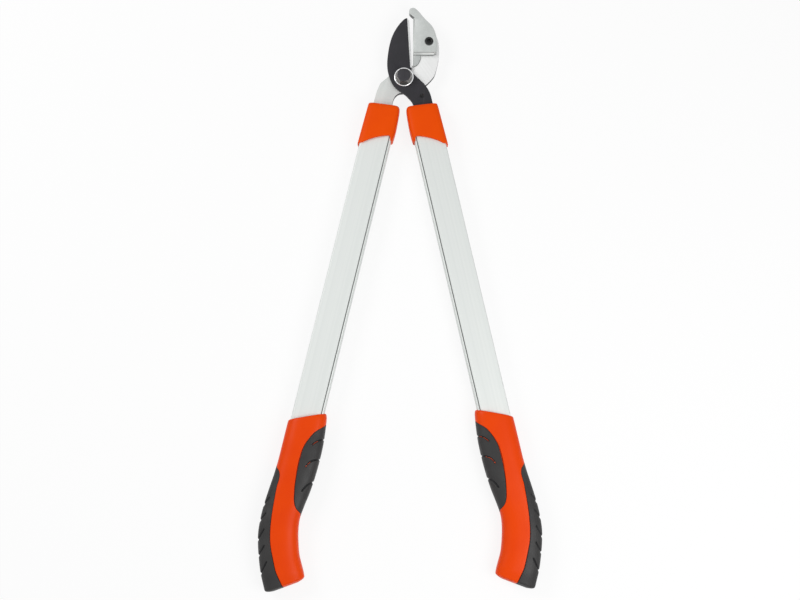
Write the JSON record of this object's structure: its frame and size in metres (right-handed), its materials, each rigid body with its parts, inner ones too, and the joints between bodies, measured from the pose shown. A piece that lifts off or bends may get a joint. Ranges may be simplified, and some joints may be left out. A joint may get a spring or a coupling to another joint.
{
  "type": "anvil lopper",
  "caption": "Long-handled anvil lopper: a coated blade closes on a hooked anvil about a pivot bolt, with flat-oval tube levers, moulded collars and curved padded grips.",
  "frame": {"origin": "on the pivot axis, at the back face of the pivot bolt and nut, which is the surface the tool lies on", "axes": "+Y from the pivot to the jaw along the centre line of the levers, +Z along the pivot axis to the viewer, +X to the anvil side"},
  "size_m": [0.3275, 0.7006, 0.03],
  "materials": {
    "arm_steel": "satin plated",
    "anvil_alloy": "matte cast",
    "black_screw": "black oxide",
    "pivot_dark": "dark phosphate",
    "plain_steel": "zinc plated",
    "washer_chrome": "polished",
    "washer_brass": "plain",
    "blade_coated": "matte non-stick coating, ground bright edge",
    "tube_aluminium": "matte anodised",
    "orange_plastic": "semi gloss moulded",
    "liner_plastic": "matte",
    "pad_rubber": "soft matte"
  },
  "bodies": {
    "anvil_lever": {"hook_arm": "arm_steel", "anvil": "anvil_alloy", "anvil_screw": "black_screw", "pivot_bolt": "pivot_dark", "pivot_nut": "plain_steel", "nut_lock_ring": "liner_plastic", "cup_washer": "washer_chrome", "back_washer": "plain_steel", "friction_washer": "washer_brass", "left_tube": "tube_aluminium", "left_collar": "orange_plastic", "left_tang_liner": "liner_plastic", "left_tang_pins": "plain_steel", "left_grip_core": "orange_plastic", "left_grip_inner_pad": "pad_rubber", "left_grip_outer_pad": "pad_rubber"},
    "blade_lever": {"cutting_blade": "blade_coated", "right_tube": "tube_aluminium", "right_collar": "orange_plastic", "right_tang_liner": "liner_plastic", "right_tang_pins": "plain_steel", "right_grip_core": "orange_plastic", "right_grip_inner_pad": "pad_rubber", "right_grip_outer_pad": "pad_rubber"}
  },
  "joints": [
    {"name": "jaw_hinge", "type": "hinge", "parent": "anvil_lever", "child": "blade_lever", "pos_m": [0, 0, 0], "axis": [0, 0, 1], "range_deg": [-3.6, 48]}
  ]
}
